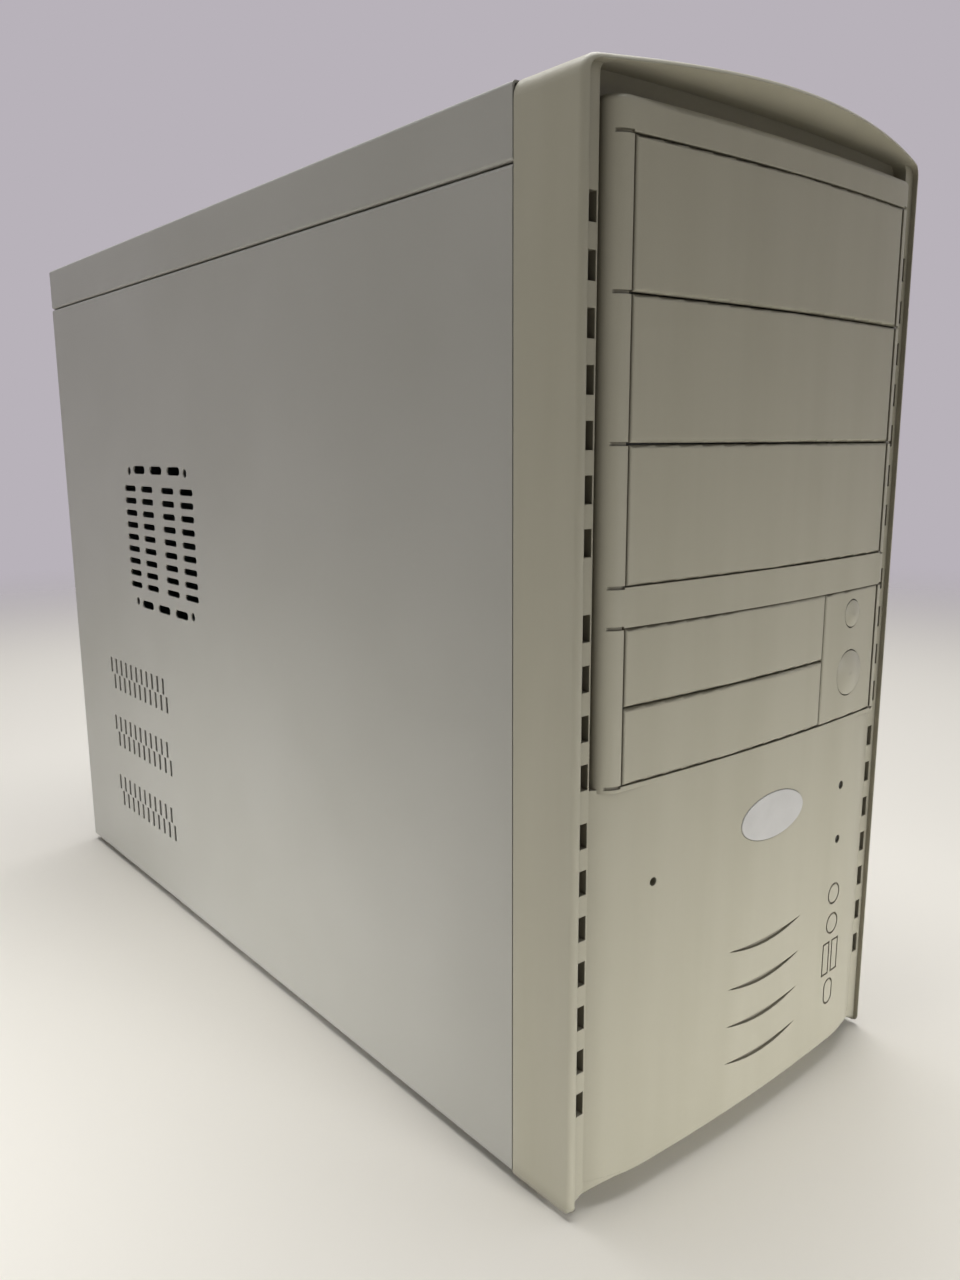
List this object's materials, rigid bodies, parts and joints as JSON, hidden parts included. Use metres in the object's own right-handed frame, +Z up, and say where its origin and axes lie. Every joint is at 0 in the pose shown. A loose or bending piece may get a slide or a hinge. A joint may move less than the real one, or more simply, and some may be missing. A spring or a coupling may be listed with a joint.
{
  "type": "tower computer",
  "caption": "Mini tower personal computer in a pale grey steel case with a moulded front, blanked drive bays, push buttons, sliding side panels and a complete inside.",
  "frame": {"origin": "on the floor, under the middle of the whole box", "axes": "+Z up, the front faces -Y, +X to the right seen from the front"},
  "size_m": [0.184, 0.4657, 0.3648],
  "materials": {
    "putty_plastic": "satin moulded",
    "badge_white": "gloss",
    "lamp_lens": "gloss, unlit",
    "painted_case": "semi-gloss",
    "zinc_steel": "zinc plated",
    "bright_steel": "nickel plated",
    "black_plastic": "satin",
    "circuit_board": "solder mask",
    "white_plastic": "satin",
    "blue_plastic": "satin",
    "port_plastic": "satin",
    "foot_rubber": "matte",
    "brass": "turned",
    "heatsink_aluminium": "extruded",
    "drive_casting": "cast",
    "capacitor_sleeve": "sleeve",
    "grey_cable": "matte",
    "black_cable": "matte"
  },
  "bodies": {
    "case": {"audio_jacks": "black_plastic", "badge_plate": "badge_white", "base_pan": "zinc_steel", "bay_cage": "zinc_steel", "bay_cover_bottom": "putty_plastic", "bay_cover_middle": "putty_plastic", "bay_cover_top": "putty_plastic", "board_screws": "bright_steel", "button_panel": "putty_plastic", "capacitors": "capacitor_sleeve", "case_feet": "foot_rubber", "case_screws": "bright_steel", "chipset_heatsink": "heatsink_aluminium", "cpu_fan_frame": "black_plastic", "cpu_heatsink": "heatsink_aluminium", "cpu_socket": "white_plastic", "disk_data_cable": "grey_cable", "disk_sockets": "blue_plastic", "drive_power_cable": "black_cable", "expansion_slots": "white_plastic", "front_bezel": "putty_plastic", "front_plate": "zinc_steel", "front_switches": "black_plastic", "hard_drive": "drive_casting", "indicator_lamps": "lamp_lens", "io_shield": "zinc_steel", "keyboard_ports": "black_plastic", "main_power_cable": "black_cable", "mains_inlet": "black_plastic", "memory_module": "circuit_board", "memory_sockets": "black_plastic", "motherboard": "circuit_board", "motherboard_tray": "zinc_steel", "parallel_port": "port_plastic", "power_socket": "white_plastic", "processor": "heatsink_aluminium", "psu_case": "zinc_steel", "psu_fan_frame": "black_plastic", "psu_fan_grille": "bright_steel", "psu_lid": "zinc_steel", "rear_panel": "zinc_steel", "rocker_housing": "black_plastic", "serial_video_ports": "bright_steel", "slot_covers": "zinc_steel", "small_cage": "zinc_steel", "small_cover_lower": "putty_plastic", "small_cover_upper": "putty_plastic", "standoffs": "brass", "switch_board": "circuit_board", "top_cover": "painted_case", "usb_ports": "bright_steel"},
    "power_button": {"power_button": "putty_plastic"},
    "reset_button": {"reset_button": "putty_plastic"},
    "left_panel": {"left_side_panel": "painted_case", "left_panel_screws": "bright_steel"},
    "right_panel": {"right_side_panel": "painted_case", "right_panel_screws": "bright_steel"},
    "processor_fan": {"cpu_fan_rotor": "black_plastic"},
    "supply_fan": {"psu_fan_rotor": "black_plastic"},
    "supply_rocker": {"rocker_switch": "black_plastic"}
  },
  "joints": [
    {"name": "power_press", "type": "slide", "parent": "case", "child": "power_button", "axis": [0, 1, 0], "range_m": [0, 0.0022], "stiffness_N_per_m": 500, "springref_m": -0.001},
    {"name": "reset_press", "type": "slide", "parent": "case", "child": "reset_button", "axis": [0, 1, 0], "range_m": [0, 0.0016], "stiffness_N_per_m": 500, "springref_m": -0.001},
    {"name": "left_panel_slide", "type": "slide", "parent": "case", "child": "left_panel", "axis": [0, 1, 0], "range_m": [0, 0.018]},
    {"name": "right_panel_slide", "type": "slide", "parent": "case", "child": "right_panel", "axis": [0, 1, 0], "range_m": [0, 0.018]},
    {"name": "processor_fan_spin", "type": "hinge", "parent": "case", "child": "processor_fan", "pos_m": [0.02, 0.08465, 0.2078], "axis": [1, 0, 0], "continuous": true},
    {"name": "supply_fan_spin", "type": "hinge", "parent": "case", "child": "supply_fan", "pos_m": [-0.023, 0.21, 0.3122], "axis": [0, 1, 0], "continuous": true},
    {"name": "mains_rocker", "type": "hinge", "parent": "case", "child": "supply_rocker", "pos_m": [0.04, 0.22365, 0.3322], "axis": [0, 0, 1], "range_deg": [-18, 0]}
  ]
}
